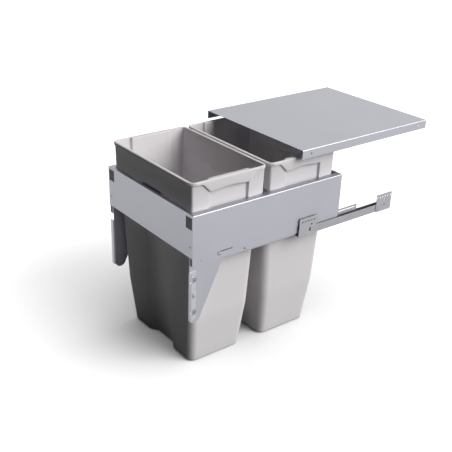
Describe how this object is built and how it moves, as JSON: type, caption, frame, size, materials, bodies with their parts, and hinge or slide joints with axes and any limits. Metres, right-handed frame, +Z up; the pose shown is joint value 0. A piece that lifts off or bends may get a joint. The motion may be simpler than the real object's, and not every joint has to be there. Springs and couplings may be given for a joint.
{
  "type": "pull-out waste bin unit",
  "caption": "Pull-out waste bin unit for a kitchen cabinet: an open sheet-steel frame on telescopic runners, with hanging tapered plastic bins, door brackets and a fixed lid.",
  "frame": {"origin": "midway between the cabinet's side walls, in the plane of the lid's front edge, level with the hole rows of the fixing plates", "axes": "+Y into the cabinet along the runners, +Z up, +X to the right seen from the front"},
  "size_m": [0.412, 0.825, 0.5717],
  "materials": {
    "lid_steel": "satin silver-grey powder coat",
    "frame_steel": "satin silver-grey powder coat",
    "drawer_steel": "satin silver-grey coat",
    "runner_steel": "zinc plated",
    "plate_steel": "zinc plated",
    "angle_steel": "dark passivated zinc",
    "fastener_steel": "zinc plated",
    "cap_plastic": "moulded, dark",
    "bin_plastic": "moulded, fine matt grain"
  },
  "bodies": {
    "cabinet_side": {"lid_plate": "lid_steel", "cabinet_rail_left": "runner_steel", "cabinet_rail_right": "runner_steel", "front_plate_left": "plate_steel", "front_plate_right": "plate_steel", "rear_plate_left": "plate_steel", "rear_plate_right": "plate_steel", "plate_rivets": "fastener_steel"},
    "carriage": {"frame_front": "frame_steel", "frame_rear": "frame_steel", "frame_side_left": "frame_steel", "frame_side_right": "frame_steel", "cross_bar": "frame_steel", "ledge_left": "plate_steel", "ledge_right": "plate_steel", "corner_angles": "angle_steel", "drawer_rail_left": "drawer_steel", "drawer_rail_right": "drawer_steel", "rail_rivets": "fastener_steel", "rail_cap_left": "cap_plastic", "rail_cap_right": "cap_plastic", "gusset_left": "frame_steel", "gusset_right": "frame_steel", "gusset_rivets": "fastener_steel", "door_bracket_left": "plate_steel", "door_bracket_right": "plate_steel", "clamp_screws": "fastener_steel"},
    "middle_rails": {"middle_rail_left": "runner_steel", "middle_rail_right": "runner_steel"},
    "upper_cages": {"upper_cage_left": "runner_steel", "upper_cage_right": "runner_steel", "upper_balls": "fastener_steel"},
    "lower_cages": {"lower_cage_left": "runner_steel", "lower_cage_right": "runner_steel", "lower_balls": "fastener_steel"},
    "front_bin": {"bin_front": "bin_plastic"},
    "rear_bin": {"bin_rear": "bin_plastic"},
    "eccentric_upper_left": {"adjuster_upper_left": "fastener_steel"},
    "eccentric_lower_left": {"adjuster_lower_left": "fastener_steel"},
    "eccentric_upper_right": {"adjuster_upper_right": "fastener_steel"},
    "eccentric_lower_right": {"adjuster_lower_right": "fastener_steel"}
  },
  "joints": [
    {"name": "pull_out", "type": "slide", "parent": "cabinet_side", "child": "carriage", "axis": [0, -1, 0], "range_m": [-0.341, 0.159]},
    {"name": "middle_slide", "type": "slide", "parent": "cabinet_side", "child": "middle_rails", "axis": [0, -1, 0], "range_m": [-0.1705, 0.0795]},
    {"name": "upper_cage_slide", "type": "slide", "parent": "cabinet_side", "child": "upper_cages", "axis": [0, -1, 0], "range_m": [-0.25575, 0.11925]},
    {"name": "lower_cage_slide", "type": "slide", "parent": "cabinet_side", "child": "lower_cages", "axis": [0, -1, 0], "range_m": [-0.08525, 0.03975]},
    {"name": "front_bin_lift", "type": "slide", "parent": "carriage", "child": "front_bin", "axis": [0, 0, 1], "range_m": [0, 0.5]},
    {"name": "rear_bin_lift", "type": "slide", "parent": "carriage", "child": "rear_bin", "axis": [0, 0, 1], "range_m": [0, 0.02]},
    {"name": "turn_upper_left", "type": "hinge", "parent": "carriage", "child": "eccentric_upper_left", "pos_m": [-0.1885, -0.3287, -0.075], "axis": [1, 0, 0], "range_deg": [-90, 90]},
    {"name": "turn_lower_left", "type": "hinge", "parent": "carriage", "child": "eccentric_lower_left", "pos_m": [-0.1885, -0.3287, -0.169], "axis": [1, 0, 0], "range_deg": [-90, 90]},
    {"name": "turn_upper_right", "type": "hinge", "parent": "carriage", "child": "eccentric_upper_right", "pos_m": [0.1885, -0.3287, -0.075], "axis": [1, 0, 0], "range_deg": [-90, 90]},
    {"name": "turn_lower_right", "type": "hinge", "parent": "carriage", "child": "eccentric_lower_right", "pos_m": [0.1885, -0.3287, -0.169], "axis": [1, 0, 0], "range_deg": [-90, 90]}
  ],
  "couplings": [
    {"joint": "middle_slide", "follows": "pull_out", "ratio": 0.5},
    {"joint": "upper_cage_slide", "follows": "pull_out", "ratio": 0.75},
    {"joint": "lower_cage_slide", "follows": "pull_out", "ratio": 0.25}
  ]
}
